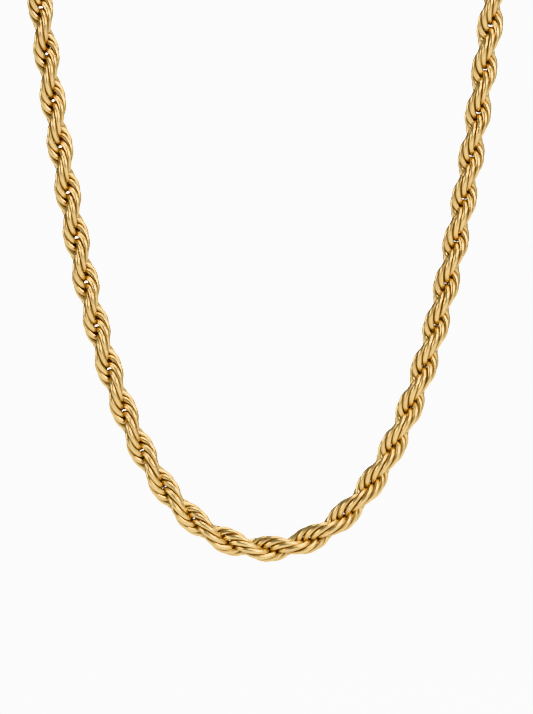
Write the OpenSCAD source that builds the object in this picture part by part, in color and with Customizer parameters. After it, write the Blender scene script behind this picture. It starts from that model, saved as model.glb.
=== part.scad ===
// Rope chain necklace, 6 mm wide, in its worn hanging form.
// Millimetres, +Z up. The front hangs in an upright plane that faces -Y.
// The origin is on the neck's axis, level with the nape, where the chain rests.

/* [Rope] */
// Width of the rope over its round bulges
chain_w = 6; // [5.9:0.05:6.2]
// Diameter of the round wire that each link is bent from
wire_d = 1.08; // [0.8:0.01:1.1]
// Opening between the two ends of a link's wire
link_gap = 1.6; // [1.5:0.05:2.2]
// Turn from one link to the next, about the rope's own axis
twist_step = 30; // [29:0.5:32]
// Turn of the lowest link about the rope's own axis
first_twist = 76; // [0:1:360]
// Distance from link to link at the lowest point
pitch_low = 1.54; // [1.5:0.01:1.7]
// Distance from link to link at the top of the left arm, which hangs a little looser
pitch_left = 1.76; // [1.54:0.01:1.8]
// Distance from link to link at the top of the right arm
pitch_right = 1.62; // [1.54:0.01:1.8]

/* [Front drop] */
// Distance between the two arms at the top of the front drop
drop_w = 100; // [90:1:115]
// Height of the front drop, along the rope's axis
drop_h = 121; // [100:1:140]
// How widely the low end is rounded, as the scale of a hanging curve
drop_round = 16; // [15:0.25:20]

/* [Neck] */
// Width of the loop at the sides of the neck, between the rope's axes
neck_w = 114; // [108:1:130]
// Distance from the front drop to the neck's axis
front_out = 50; // [45:1:60]
// Distance from the neck's axis to the nape
nape_out = 43; // [38:1:55]
// Rise from the top of the front drop to the nape
nape_rise = 44; // [36:1:60]
// Height of the neck's widest place above the top of the front drop
side_rise = 30; // [24:1:40]
// Distance of the neck's widest place in front of its axis
side_ahead = 8; // [0:1:16]

/* [Clasp] */
// Length of the clasp
clasp_len = 17; // [14:0.5:24]
// Depth of the cup that takes each end of the rope
cup_depth = 3.2; // [2.4:0.1:5]
// Wall of the cups
cup_wall = 0.7; // [0.5:0.05:1.2]
// Gap round the rope in its cup
cup_fit = 0.2; // [0.1:0.05:0.4]
// Diameter of the barrel between the cups
barrel_d = 6.2; // [4.5:0.1:6.5]

/* [Hidden] */
gold = [0.83, 0.64, 0.33];
curve_fn = 48;

// The ring that a link's wire follows, and half the turn that its opening takes
ring_r = (chain_w - wire_d) / 2;
gap_turn = asin(link_gap / 2 / ring_r);

// The front drop: a hanging curve through the low point and both arm tops
function cosh(v) = (exp(v) + exp(-v)) / 2;
function sinh(v) = (exp(v) - exp(-v)) / 2;
half_drop = drop_w / 2;
steepness = drop_h / (drop_round * (cosh(half_drop / drop_round) - 1));
low_z = -nape_rise - drop_h;
function drop_z(x) = low_z + steepness * drop_round * (cosh(x / drop_round) - 1);
function drop_angle(x) = atan(steepness * sinh(x / drop_round));

// Length along the drop from its low point, as rows of [length, x]
drop_rows = 240;
drop_dx = half_drop / drop_rows;
drop_table = [
    for (i = 0, x = 0, s = 0; i <= drop_rows;
         i = i + 1, s = s + norm([drop_dx, drop_z(x + drop_dx) - drop_z(x)]), x = x + drop_dx)
        [s, x]
];
arm_len = drop_table[drop_rows][0];
function drop_x(s) = sign(s) * lookup(abs(s), drop_table);

// The links lie closest together at the low point, and a little wider up each arm
function arm_pitch(k) = k < 0 ? pitch_left : pitch_right;
function pitch_gain(k) = (arm_pitch(k) - pitch_low) * (pitch_low + arm_pitch(k)) / (4 * arm_len);
function link_s(k) = k * (pitch_low + pitch_gain(k) * abs(k));
most_links = 300;
link_numbers = [
    for (k = [-most_links : most_links])
        if (abs(link_s(k)) <= arm_len - chain_w / 2) k
];

// The hidden stretch on one side, -1 or 1: arm top, side of the neck, nape, then into the clasp
arm_lean = drop_angle(half_drop);
up_arm = [cos(arm_lean), 0, sin(arm_lean)];
arm_top = [half_drop, -front_out, -nape_rise];
neck_side = [neck_w / 2, -side_ahead, side_rise - nape_rise];
nape_end = [clasp_len / 2, nape_out, 0];
arm_handle = 16;
side_handle = [0, 18, 5];
side_reach = 1.3;
nape_handle = [26, 0, 0];
function bezier(a, b, c, d, t) =
    pow(1 - t, 3) * a + 3 * pow(1 - t, 2) * t * b + 3 * (1 - t) * t * t * c + t * t * t * d;
function rise_curve(t) =
    bezier(arm_top, arm_top + arm_handle * up_arm, neck_side - side_handle, neck_side, t);
function nape_curve(t) =
    bezier(neck_side, neck_side + side_reach * side_handle, nape_end + nape_handle, nape_end, t);

// The tube that stands for the rope there starts just above the last link of its arm
rise_rings = 9;
nape_rings = 13;
tube_sides = 10;
tube_gap = 0.2;
function last_s(side) = abs(link_s(side < 0 ? min(link_numbers) : max(link_numbers)));
function tube_start(side) = arm_top + (last_s(side) + chain_w / 2 + tube_gap - arm_len) * up_arm;
tube_end = nape_end - [cup_depth - tube_gap, 0, 0];
function tube_route(side) = [
    for (p = concat(
        [tube_start(side)],
        [for (i = [1 : rise_rings]) rise_curve(i / rise_rings)],
        [for (i = [1 : nape_rings]) nape_curve(i / nape_rings)],
        [tube_end]
    ))
        [side * p.x, p.y, p.z]
];

// One link: a ring of round wire with an opening at its front
module link() {
    rotate([0, 0, gap_turn])
        rotate_extrude(angle = 360 - 2 * gap_turn, $fn = curve_fn)
            translate([ring_r, 0])
                circle(d = wire_d, $fn = curve_fn / 2);
}

// The shown front of the rope: loose links, each one through its neighbours
module front_chain() {
    color(gold)
        for (k = link_numbers) {
            x = drop_x(link_s(k));
            translate([x, -front_out, drop_z(x)])
                rotate([0, -drop_angle(x), 0])
                    rotate([first_twist + k * twist_step, 0, 0])
                        link();
        }
}

// A closed tube along a list of points, none of whose stretches runs along side_on
module tube(route, side_on, d, sides) {
    last = len(route) - 1;
    function along(i) = route[min(i + 1, last)] - route[max(i - 1, 0)];
    function unit(v) = v / norm(v);
    function ring(i) =
        let (out = unit(cross(along(i), side_on)), over = unit(cross(along(i), out)))
            [for (j = [0 : sides - 1])
                route[i] + d / 2 * (cos(360 * j / sides) * out + sin(360 * j / sides) * over)];
    points = [for (i = [0 : last]) for (p = ring(i)) p];
    walls = [
        for (i = [0 : last - 1])
            for (j = [0 : sides - 1])
                let (a = i * sides + j, b = i * sides + (j + 1) % sides)
                    each [[a, a + sides, b + sides], [a, b + sides, b]]
    ];
    start = [for (j = [0 : sides - 1]) j];
    finish = [for (j = [sides - 1 : -1 : 0]) last * sides + j];
    polyhedron(points, concat(walls, [start, finish]));
}

// The hidden rest of the rope, in two halves that meet in the clasp
module back_chain() {
    color(gold)
        for (side = [-1, 1])
            tube(tube_route(side), [side, 1, -0.5], chain_w, tube_sides);
}

// A plain barrel clasp with a cup for each end of the rope
module clasp() {
    cup_r = chain_w / 2 + cup_fit;
    rim_r = cup_r + cup_wall;
    half = clasp_len / 2;
    shoulder = half - cup_depth - cup_wall;
    color(gold)
        translate([0, nape_out, 0])
            rotate([0, 90, 0])
                rotate_extrude($fn = curve_fn)
                    polygon([
                        [0, -half + cup_depth],
                        [cup_r, -half + cup_depth],
                        [cup_r, -half],
                        [rim_r, -half],
                        [rim_r, -shoulder],
                        [barrel_d / 2, -shoulder + cup_wall],
                        [barrel_d / 2, shoulder - cup_wall],
                        [rim_r, shoulder],
                        [rim_r, half],
                        [cup_r, half],
                        [cup_r, half - cup_depth],
                        [0, half - cup_depth]
                    ]);
}

front_chain();
back_chain();
clasp();
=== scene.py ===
import math

import bpy
import numpy as np
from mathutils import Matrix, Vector


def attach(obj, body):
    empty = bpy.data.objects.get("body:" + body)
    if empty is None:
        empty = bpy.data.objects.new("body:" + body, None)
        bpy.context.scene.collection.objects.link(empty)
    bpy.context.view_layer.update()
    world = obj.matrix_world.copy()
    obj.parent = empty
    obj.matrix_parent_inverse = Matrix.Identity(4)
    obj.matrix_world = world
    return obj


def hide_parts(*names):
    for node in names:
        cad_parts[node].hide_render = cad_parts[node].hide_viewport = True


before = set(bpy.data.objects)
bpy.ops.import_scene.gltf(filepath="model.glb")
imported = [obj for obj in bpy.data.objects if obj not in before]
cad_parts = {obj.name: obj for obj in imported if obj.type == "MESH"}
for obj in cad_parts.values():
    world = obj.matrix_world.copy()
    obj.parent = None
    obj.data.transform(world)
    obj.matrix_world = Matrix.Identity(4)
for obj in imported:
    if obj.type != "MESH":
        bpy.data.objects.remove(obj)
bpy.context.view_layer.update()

mm = 0.001
print("frame loaded")

# The way of the rope, with the neck's axis upright through zero. The shown drop is a hanging curve in an
# upright plane in front of the neck. The hidden rest goes up over the side of the neck and round to the
# nape. The right half is drawn, and the left half is its mirror image.
way = {
    "halfDrop": 50 * mm,      # from the middle to an arm, at the top of the drop
    "dropHeight": 121 * mm,
    "dropRound": 16 * mm,     # how widely the low end is rounded
    "frontOut": 50 * mm,      # from the neck's axis to the drop
    "armHandle": 16 * mm,     # how far an arm keeps its direction above the drop
    "halfNeck": 57 * mm,      # from the neck's axis to the rope beside the neck
    "sideAhead": 8 * mm,      # this place lies a little to the front
    "sideRise": 30 * mm,      # and this far above the top of the drop
    "sideHandle": (0, 18 * mm, 5 * mm),       # the way the rope takes through this place
    "sideReach": 1.3,         # how much farther it keeps that way behind the place than before it
    "napeOut": 43 * mm,       # from the neck's axis to the rope at the nape
    "napeRise": 44 * mm,      # from the top of the drop to the nape
    "napeHandle": (26 * mm, 0, 0),            # the way it takes out of the clasp
    "claspHalf": 8.5 * mm,    # from the clasp's middle to its end
    "cupSeat": 3.0 * mm,      # how far the rope goes into its cup
    "steps": 4000,            # points on each stretch
}


def bezier(a, b, c, d, steps):
    t = np.linspace(0, 1, steps)[:, None]
    return (1 - t) ** 3 * a + 3 * (1 - t) ** 2 * t * b + 3 * (1 - t) * t * t * c + t ** 3 * d


def runAlong(points):
    return np.concatenate([[0], np.cumsum(np.linalg.norm(np.diff(points, axis=0), axis=1))])


def unitRows(rows):
    return rows / np.linalg.norm(rows, axis=1)[:, None]


def makeWay(w):
    x = np.linspace(0, w["halfDrop"], w["steps"])
    broad = w["dropRound"]
    steep = w["dropHeight"] / (broad * (math.cosh(w["halfDrop"] / broad) - 1))
    z = -w["napeRise"] - w["dropHeight"] + steep * broad * (np.cosh(x / broad) - 1)
    drop = np.stack([x, np.full_like(x, -w["frontOut"]), z], 1)
    lean = math.atan(steep * math.sinh(w["halfDrop"] / broad))
    upArm = np.array([math.cos(lean), 0, math.sin(lean)])
    neckSide = np.array([w["halfNeck"], -w["sideAhead"], w["sideRise"] - w["napeRise"]])
    napeEnd = np.array([w["claspHalf"], w["napeOut"], 0])
    seat = napeEnd - np.array([w["cupSeat"], 0, 0])
    handle = np.array(w["sideHandle"])
    armEnd = drop[-1] + w["armHandle"] * upArm
    rise = bezier(drop[-1], armEnd, neckSide - handle, neckSide, w["steps"])
    onward = neckSide + w["sideReach"] * handle
    nape = bezier(neckSide, onward, napeEnd + w["napeHandle"], napeEnd, w["steps"])
    points = np.vstack([drop, rise[1:], nape[1:], seat[None]])
    run = runAlong(points)
    along = unitRows(np.gradient(points, run, axis=0))
    side = np.empty_like(points)      # carried along without turning about the rope
    side[0] = (0, 1, 0)
    for i in range(1, len(points)):
        s = side[i - 1] - np.dot(side[i - 1], along[i]) * along[i]
        side[i] = s / np.linalg.norm(s)
    armLength = run[w["steps"] - 1]
    return {"run": run, "points": points, "along": along, "side": side, "armLength": armLength}


route = makeWay(way)


def placeOnWay(s):
    place, along, side = [
        np.array([np.interp(abs(s), route["run"], route[key][:, i]) for i in range(3)])
        for key in ("points", "along", "side")]
    if s < 0:
        mirror = np.array([-1, 1, 1])
        place, along, side = place * mirror, -along * mirror, side * mirror
    along /= np.linalg.norm(along)
    side -= np.dot(side, along) * along
    side /= np.linalg.norm(side)
    return place, np.stack([along, side, np.cross(along, side)], 1)


# What both stretches of the rope share: open rings of round wire, each one through the next three
rope = {
    "radius": 2.99 * mm,
    "wire": 1.22 * mm,
    "halfLength": 4.05 * mm,  # of a link, over its wire
    "fullness": 1.90,         # of the oval that the wire follows: 2 is an ellipse, less is a lens
    "winding": 0.03,          # how far a link follows the rope's own twist
    "opening": 0.5 * mm,      # between the two ends of a link's wire
    "nose": 0.2,              # length of the rounding at those ends, in wire thicknesses
    "noseWidth": 0.72,        # what is left of the thickness at the very end
    "curveSteps": 4001,       # points on the oval, before the wire's own rounds are placed on it
    "pitch": 1.62 * mm,       # from link to link, where the rope hangs evenly
    "twist": math.radians(30),        # from link to link
    "firstTwist": math.radians(76),   # of the link at the low point
    "looseTurn": math.radians(1.5),   # how unevenly the links lie
    "looseTilt": math.radians(1.2),
    "seed": 11,
    "seamReach": 0.42 * mm,   # how far out of a seam the painted shade goes
    "seamLinks": 5,           # how many links on each side can shade a link
    "seamSteps": 150,         # places along a neighbour's wire that are measured to
}


def linkCurve(r, rounds):
    length = r["halfLength"] - r["wire"] / 2
    width = r["radius"] - r["wire"] / 2
    turns = np.linspace(0, 2 * math.pi, r["curveSteps"])
    across, up = np.cos(turns), np.sin(turns)
    power = 2 / r["fullness"]
    x = length * np.sign(across) * np.abs(across) ** power
    y = width * np.sign(up) * np.abs(up) ** power
    z = r["winding"] * width * np.sin(2 * np.arctan2(y / width, x / length))
    points = np.stack([x, y, z], 1)
    run = runAlong(points)
    half = r["opening"] / 2
    nose = r["nose"] * r["wire"]
    stops = np.linspace(half + nose, run[-1] - half - nose, rounds + 1)
    stops = np.concatenate([[half], stops, [run[-1] - half]])
    centres = np.stack([np.interp(stops, run, points[:, i]) for i in range(3)], 1)
    ahead = unitRows(np.gradient(centres, stops, axis=0))
    swells = np.ones(len(stops))
    swells[0] = swells[-1] = r["noseWidth"]
    return centres, ahead, swells


def linkShape(r, sides, rounds):
    centres, ahead, swells = linkCurve(r, rounds)
    out = unitRows(np.cross(ahead, (0, 0, 1)))
    over = np.cross(out, ahead)
    around = np.linspace(0, 2 * math.pi, sides, endpoint=False)
    cos, sin = np.cos(around)[None, :, None], np.sin(around)[None, :, None]
    ring = cos * out[:, None] + sin * over[:, None]
    thick = (swells * r["wire"] / 2)[:, None, None]
    points = (centres[:, None] + thick * ring).reshape(-1, 3)
    last = len(centres) - 1
    faces = []
    for i in range(last):
        for j in range(sides):
            here, beside = i * sides + j, i * sides + (j + 1) % sides
            faces.append((here, here + sides, beside + sides, beside))
    faces.append(tuple(range(sides)))
    faces.append(tuple(reversed(range(last * sides, (last + 1) * sides))))
    return points, faces


def rolled(turn):             # about the rope's own line
    cos, sin = math.cos(turn), math.sin(turn)
    return np.array([[1, 0, 0], [0, cos, -sin], [0, sin, cos]])


def leaned(tilt):             # across it
    cos, sin = math.cos(tilt), math.sin(tilt)
    return np.array([[cos, 0, sin], [0, 1, 0], [-sin, 0, cos]])


# How much painted shade a link's wire gets: 1 where it lies against its neighbours, falling to 0 at
# seamReach away from them
def seamShadeMask(r, shape):
    wires = linkCurve(r, r["seamSteps"])[0]
    gap = np.full(len(shape), r["halfLength"])
    for k in range(-r["seamLinks"], r["seamLinks"] + 1):
        if k != 0:
            other = wires @ rolled(k * r["twist"]).T + (k * r["pitch"], 0, 0)
            away = np.linalg.norm(shape[:, None] - other[None], axis=2).min(1)
            gap = np.minimum(gap, away - r["wire"] / 2)
    clear = np.clip(gap / r["seamReach"], 0, 1)
    return 1 - clear * clear * (3 - 2 * clear)


def setUp(name, data):
    item = bpy.data.objects.new(name, data)
    bpy.context.collection.objects.link(item)
    return item


def newPiece(name, points, faces):
    mesh = bpy.data.meshes.new(name)
    mesh.from_pydata(points, [], faces)
    mesh.polygons.foreach_set("use_smooth", [len(face) == 4 for face in faces])
    return setUp(name, mesh)


def makeRope(name, places, r, stretch):
    shape, faces = linkShape(r, stretch["sides"], stretch["rounds"])
    # how much painted shade falls on each point of a link, in its seams
    seams = seamShadeMask(r, shape)
    draw = np.random.default_rng(r["seed"])
    points, allFaces, tones = [], [], []
    for k in sorted(places):
        place, axes = placeOnWay(places[k])
        turn = r["firstTwist"] + k * r["twist"] + draw.uniform(-1, 1) * r["looseTurn"]
        tilt = draw.uniform(-1, 1) * r["looseTilt"]
        start = len(points) * len(shape)
        points.append(stretch["size"] * shape @ (axes @ rolled(turn) @ leaned(tilt)).T + place)
        allFaces.extend(tuple(corner + start for corner in face) for face in faces)
        tones.extend([draw.uniform(0, 1)] * len(shape))
    piece = newPiece(name, np.vstack(points).tolist(), allFaces)
    # a random tone for each link, and the painted shade in its seams
    for key, values in (("linkTone", tones), ("paintedSeamShade", np.tile(seams, len(places)))):
        piece.data.attributes.new(key, "FLOAT", "POINT").data.foreach_set("value", values)
    return piece


# The shown front of the rope
frontRope = {
    "pitchLow": 1.54 * mm,    # from link to link at the low point, and at the top of each arm
    "pitchLeft": 1.76 * mm,
    "pitchRight": 1.62 * mm,
    "endRoom": 3.0 * mm,      # from the last shown link to the end of its arm
    "size": 1.0,
    "sides": 16,              # of a wire
    "rounds": 33,             # steps along a link's wire
}

# The hidden rest of the rope, slightly smaller, so that its links stay inside the part's plain tube
backRope = {
    "size": 0.972,
    "sides": 12,
    "rounds": 34,
}


def linkRuns(r, front, back):
    arm, low = route["armLength"], front["pitchLow"]
    shown, hidden = {}, {}
    for sign, pitch in ((-1, front["pitchLeft"]), (1, front["pitchRight"])):
        gain = (pitch - low) * (low + pitch) / (4 * arm)      # the pitch grows evenly up the arm
        k = 0
        while k * (low + gain * k) <= arm - front["endRoom"]:
            shown[sign * k] = sign * k * (low + gain * k)
            k += 1
        last = abs(shown[sign * (k - 1)])
        room = route["run"][-1] - r["halfLength"] * back["size"] - last
        count = round(room / r["pitch"])
        for i in range(count):
            hidden[sign * (k + i)] = sign * (last + room * (i + 1) / count)
    return shown, hidden


shownRuns, hiddenRuns = linkRuns(rope, frontRope, backRope)
frontChain = makeRope("frontRope", shownRuns, rope, frontRope)
backChain = makeRope("backRope", hiddenRuns, rope, backRope)
print("rope made:", len(shownRuns), "shown links,", len(hiddenRuns), "hidden links")

# The clasp: a plain barrel with a cup for each end of the rope
barrel = {
    "half": way["claspHalf"],
    "rim": 3.89 * mm,         # outer radius of a cup
    "body": 3.1 * mm,         # radius of the barrel between the cups
    "cup": 3.2 * mm,          # inner radius of a cup
    "cupDepth": 3.2 * mm,
    "wall": 0.7 * mm,
    "edge": 0.14 * mm,        # how far the edges are rounded
    "edgeMost": 1 / 3,        # of a short side that a rounded edge may take
    "edgeSteps": 4,
    "around": 64,
    "weld": 0.001 * mm,
}


def roundedOutline(corners, b):
    outline = [corners[0]]
    for before, here, after in zip(corners, corners[1:], corners[2:]):
        before, here, after = np.array(before), np.array(here), np.array(after)
        back, on = before - here, after - here
        backLength, onLength = np.linalg.norm(back), np.linalg.norm(on)
        reach = min(b["edge"], backLength * b["edgeMost"], onLength * b["edgeMost"])
        first, second = here + back / backLength * reach, here + on / onLength * reach
        for t in np.linspace(0, 1, b["edgeSteps"] + 1):
            outline.append(tuple((1 - t) ** 2 * first + 2 * (1 - t) * t * here + t * t * second))
    outline.append(corners[-1])
    return outline


def makeClasp(b):
    bottom = b["half"] - b["cupDepth"]
    shoulder = bottom - b["wall"]
    right = [
        (b["body"], 0),
        (b["body"], shoulder - b["wall"]),
        (b["rim"], shoulder),
        (b["rim"], b["half"]),
        (b["cup"], b["half"]),
        (b["cup"], bottom),
        (0, bottom)]
    outline = roundedOutline([(radius, -x) for radius, x in reversed(right)] + right[1:], b)
    around = b["around"]
    points, faces = [], []
    for radius, x in outline:
        for j in range(around):
            turn = 2 * math.pi * j / around
            points.append((x, way["napeOut"] + radius * math.cos(turn), radius * math.sin(turn)))
    for i in range(len(outline) - 1):
        for j in range(around):
            here, beside = i * around + j, i * around + (j + 1) % around
            faces.append((here, beside, beside + around, here + around))
    piece = newPiece("barrelClasp", points, faces)
    piece.modifiers.new("closedEnds", "WELD").merge_threshold = b["weld"]
    return piece


clasp = makeClasp(barrel)
print("clasp made")


def newGroup(name, inputs, outputs):
    group = bpy.data.node_groups.new(name, "ShaderNodeTree")
    for socketName, kind, value in inputs:
        socket = group.interface.new_socket(name=socketName, in_out="INPUT", socket_type=kind)
        socket.default_value = value
    for socketName, kind in outputs:
        group.interface.new_socket(name=socketName, in_out="OUTPUT", socket_type=kind)
    return group, group.nodes.new("NodeGroupInput"), group.nodes.new("NodeGroupOutput")


def mathNode(nodes, operation):
    node = nodes.new("ShaderNodeMath")
    node.operation = operation
    return node


# The colour falls from bright to a painted seam shade, and differs a little from link to link
def shadeAndToneGroup():
    group, given, made = newGroup(
        "shadeAndTone",
        [("Bright", "NodeSocketColor", (1, 1, 1, 1)),
         ("ShadeColour", "NodeSocketColor", (0, 0, 0, 1)),
         ("Spread", "NodeSocketFloat", 0.1)],
        [("Colour", "NodeSocketColor"),
         ("Openness", "NodeSocketFloat")])
    nodes, join = group.nodes, group.links.new
    # how much painted shade falls here, where the wire lies against its neighbours
    seam = nodes.new("ShaderNodeAttribute")
    seam.attribute_name = "paintedSeamShade"
    tone = nodes.new("ShaderNodeAttribute")
    tone.attribute_name = "linkTone"
    openness = mathNode(nodes, "SUBTRACT")
    openness.inputs[0].default_value = 1
    vary = mathNode(nodes, "MULTIPLY")
    less = mathNode(nodes, "SUBTRACT")
    less.use_clamp = True
    mix = nodes.new("ShaderNodeMix")
    mix.data_type = "RGBA"
    join(seam.outputs["Fac"], openness.inputs[1])
    join(tone.outputs["Fac"], vary.inputs[0])
    join(given.outputs["Spread"], vary.inputs[1])
    join(openness.outputs["Value"], less.inputs[0])
    join(vary.outputs["Value"], less.inputs[1])
    join(less.outputs["Value"], mix.inputs["Factor"])
    join(given.outputs["ShadeColour"], mix.inputs["A"])
    join(given.outputs["Bright"], mix.inputs["B"])
    join(mix.outputs["Result"], made.inputs["Colour"])
    join(openness.outputs["Value"], made.inputs["Openness"])
    return group


polish = {
    "cloudDetail": 3,
    "scratchDetail": 2,
    "scratchFineness": 4.5,   # how much finer the scratches are than the haze
    "seamDullness": 0.12,     # roughness added at the bottom of a seam
}


# Uneven roughness and fine scratches, as polishing leaves them
def handPolishGroup(p):
    group, given, made = newGroup(
        "handPolish",
        [("Roughness", "NodeSocketFloat", 0.15),
         ("Haze", "NodeSocketFloat", 0.05),
         ("Grain", "NodeSocketFloat", 900.0),
         ("Openness", "NodeSocketFloat", 1.0)],
        [("Roughness", "NodeSocketFloat"),
         ("Height", "NodeSocketFloat")])
    nodes, join = group.nodes, group.links.new
    where = nodes.new("ShaderNodeTexCoord")
    cloud = nodes.new("ShaderNodeTexNoise")
    cloud.inputs["Detail"].default_value = p["cloudDetail"]
    fine = mathNode(nodes, "MULTIPLY")
    fine.inputs[1].default_value = p["scratchFineness"]
    scratch = nodes.new("ShaderNodeTexNoise")
    scratch.inputs["Detail"].default_value = p["scratchDetail"]
    haze = mathNode(nodes, "MULTIPLY")
    dull = nodes.new("ShaderNodeMapRange")
    dull.inputs["From Min"].default_value = 1
    dull.inputs["From Max"].default_value = 0
    dull.inputs["To Max"].default_value = p["seamDullness"]
    hazed = mathNode(nodes, "ADD")
    total = mathNode(nodes, "ADD")
    join(where.outputs["Object"], cloud.inputs["Vector"])
    join(where.outputs["Object"], scratch.inputs["Vector"])
    join(given.outputs["Grain"], cloud.inputs["Scale"])
    join(given.outputs["Grain"], fine.inputs[0])
    join(fine.outputs["Value"], scratch.inputs["Scale"])
    join(cloud.outputs["Fac"], haze.inputs[0])
    join(given.outputs["Haze"], haze.inputs[1])
    join(given.outputs["Openness"], dull.inputs["Value"])
    join(haze.outputs["Value"], hazed.inputs[0])
    join(given.outputs["Roughness"], hazed.inputs[1])
    join(hazed.outputs["Value"], total.inputs[0])
    join(dull.outputs["Result"], total.inputs[1])
    join(total.outputs["Value"], made.inputs["Roughness"])
    join(scratch.outputs["Fac"], made.inputs["Height"])
    return group


toneGroup = shadeAndToneGroup()
shineGroup = handPolishGroup(polish)

goldFinish = {
    "bright": (0.9, 0.67, 0.31, 1),
    "shadeColour": (0.38, 0.16, 0.045, 1),   # painted shade in the seams between the links
    "linkSpread": 0.12,       # how much the tone differs from link to link
    "claspSpread": 0.0,
    "roughness": 0.29,
    "haze": 0.02,
    "grain": 700.0,
    "bump": 0.01,
    "bumpHeight": 0.02 * mm,
}


def makeGold(name, f, spread):
    gold = bpy.data.materials.new(name)
    gold.use_nodes = True
    nodes, join = gold.node_tree.nodes, gold.node_tree.links.new
    shader = nodes["Principled BSDF"]
    shader.inputs["Metallic"].default_value = 1
    tone = nodes.new("ShaderNodeGroup")
    tone.node_tree = toneGroup
    tone.inputs["Bright"].default_value = f["bright"]
    # the dark colour painted into the seams as shade
    tone.inputs["ShadeColour"].default_value = f["shadeColour"]
    tone.inputs["Spread"].default_value = spread
    shine = nodes.new("ShaderNodeGroup")
    shine.node_tree = shineGroup
    shine.inputs["Roughness"].default_value = f["roughness"]
    shine.inputs["Haze"].default_value = f["haze"]
    shine.inputs["Grain"].default_value = f["grain"]
    bump = nodes.new("ShaderNodeBump")
    bump.inputs["Strength"].default_value = f["bump"]
    bump.inputs["Distance"].default_value = f["bumpHeight"]
    join(tone.outputs["Colour"], shader.inputs["Base Color"])
    join(tone.outputs["Openness"], shine.inputs["Openness"])
    join(shine.outputs["Roughness"], shader.inputs["Roughness"])
    join(shine.outputs["Height"], bump.inputs["Height"])
    join(bump.outputs["Normal"], shader.inputs["Normal"])
    return gold


linkGold = makeGold("linkGold", goldFinish, goldFinish["linkSpread"])
claspGold = makeGold("claspGold", goldFinish, goldFinish["claspSpread"])

for piece, material, node, slotName in (
        (frontChain, linkGold, "front_chain", "gold_links"),
        (backChain, linkGold, "back_chain", "gold_links"),
        (clasp, claspGold, "clasp", "gold_clasp")):
    piece.data.materials.append(material)
    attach(piece, "root")
    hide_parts(node)
print("materials made")

# The studio: a white sweep of paper under and behind the chain
studio = {
    "floor": -0.30,
    "front": -2.4,
    "back": 3.2,
    "top": 3.6,
    "halfWidth": 4.0,
    "cove": 0.8,              # radius of the bend from floor to back
    "coveSteps": 24,
    "paper": (0.85, 0.85, 0.85, 1),
    "paperRoughness": 0.9,
    "glow": 0.12,             # the light that the paper gives to the gold
    "shownGlow": 2.0,         # what the camera sees of it, so that it is white in the picture
}


def makeSweep(s):
    profile = [(s["front"], s["floor"])]
    for t in np.linspace(0, math.pi / 2, s["coveSteps"]):
        y = s["back"] - s["cove"] + s["cove"] * math.sin(t)
        profile.append((y, s["floor"] + s["cove"] * (1 - math.cos(t))))
    profile.append((s["back"], s["top"]))
    points = [(x, y, z) for y, z in profile for x in (-s["halfWidth"], s["halfWidth"])]
    faces = [(2 * i, 2 * i + 1, 2 * i + 3, 2 * i + 2) for i in range(len(profile) - 1)]
    sweep = newPiece("sweep", points, faces)
    paper = bpy.data.materials.new("sweepPaper")
    paper.use_nodes = True
    nodes, join = paper.node_tree.nodes, paper.node_tree.links.new
    shader = nodes["Principled BSDF"]
    shader.inputs["Base Color"].default_value = s["paper"]
    shader.inputs["Roughness"].default_value = s["paperRoughness"]
    shader.inputs["Emission Color"].default_value = (1, 1, 1, 1)
    seen = nodes.new("ShaderNodeLightPath")
    glow = nodes.new("ShaderNodeMapRange")
    glow.inputs["To Min"].default_value = s["glow"]
    glow.inputs["To Max"].default_value = s["shownGlow"]
    join(seen.outputs["Is Camera Ray"], glow.inputs["Value"])
    join(glow.outputs["Result"], shader.inputs["Emission Strength"])
    sweep.data.materials.append(paper)


makeSweep(studio)

lamps = [
    {"name": "keyBox", "place": (0.75, -1.1, 0.55), "size": 0.45, "power": 10.81},
    {"name": "fillBox", "place": (-1.2, -0.6, 0.25), "size": 0.5, "power": 5.11},
    {"name": "topBox", "place": (0.1, -0.3, 0.95), "size": 0.45, "power": 4.45},
    {"name": "backBox", "place": (0.5, 1.3, 0.5), "size": 0.6, "power": 3.39},
]
lampAim = Vector((0, -way["frontOut"], -0.105))       # the middle of the drop


def makeLamp(lamp):
    light = bpy.data.lights.new(lamp["name"], "AREA")
    light.shape = "SQUARE"
    light.size = lamp["size"]
    light.energy = lamp["power"]
    box = setUp(lamp["name"], light)
    box.location = lamp["place"]
    box.rotation_euler = (lampAim - Vector(lamp["place"])).to_track_quat("-Z", "Y").to_euler()


for lamp in lamps:
    makeLamp(lamp)

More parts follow.
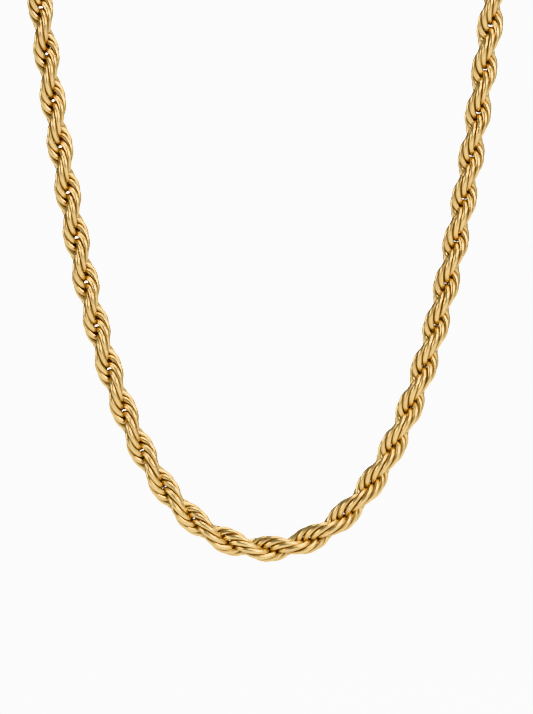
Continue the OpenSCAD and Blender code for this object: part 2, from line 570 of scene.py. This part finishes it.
# The air round the chain is brighter on the key light's side, so each wire is shaded across its width.
# It brightens from dimUpTo to brightFrom, where 1 looks straight at that side and -1 looks away from it.
air = {
    "towards": (0.74, -0.39, 0.55),
    "dimUpTo": 0.1,
    "brightFrom": 0.95,
    "dim": 0.12,
    "bright": 0.54,
    "shown": 2.4,             # what the camera itself sees above the sweep
}


def makeAir(a):
    world = bpy.data.worlds.new("studioAir")
    world.use_nodes = True
    nodes, join = world.node_tree.nodes, world.node_tree.links.new
    where = nodes.new("ShaderNodeTexCoord")
    side = nodes.new("ShaderNodeVectorMath")
    side.operation = "DOT_PRODUCT"
    side.inputs[1].default_value = a["towards"]
    glow = nodes.new("ShaderNodeMapRange")
    glow.interpolation_type = "SMOOTHSTEP"
    glow.inputs["From Min"].default_value = a["dimUpTo"]
    glow.inputs["From Max"].default_value = a["brightFrom"]
    glow.inputs["To Min"].default_value = a["dim"]
    glow.inputs["To Max"].default_value = a["bright"]
    seen = nodes.new("ShaderNodeLightPath")
    shown = nodes.new("ShaderNodeMix")
    shown.inputs["B"].default_value = a["shown"]
    sky = nodes["Background"]
    sky.inputs["Color"].default_value = (1, 1, 1, 1)
    join(where.outputs["Generated"], side.inputs[0])
    join(side.outputs["Value"], glow.inputs["Value"])
    join(seen.outputs["Is Camera Ray"], shown.inputs["Factor"])
    join(glow.outputs["Result"], shown.inputs["A"])
    join(shown.outputs["Result"], sky.inputs["Strength"])
    bpy.context.scene.world = world


makeAir(air)
bpy.context.scene.view_settings.view_transform = "Khronos PBR Neutral"

# The camera stands square on to the drop
shot = {
    "distance": 0.9,
    "height": 157.4 * mm,     # what the frame shows at the drop
    "middle": -122.7 * mm,
    "sensor": 36.0,
    "nearest": 0.01,
}


def makeCamera(c):
    lens = bpy.data.cameras.new("shotLens")
    lens.sensor_fit = "VERTICAL"
    lens.sensor_height = c["sensor"]
    lens.lens = c["sensor"] * c["distance"] / c["height"]
    lens.clip_start = c["nearest"]
    camera = setUp("shotCamera", lens)
    camera.location = (0, -way["frontOut"] - c["distance"], c["middle"])
    camera.rotation_euler = (math.pi / 2, 0, 0)
    bpy.context.scene.camera = camera


makeCamera(shot)
print("studio made")
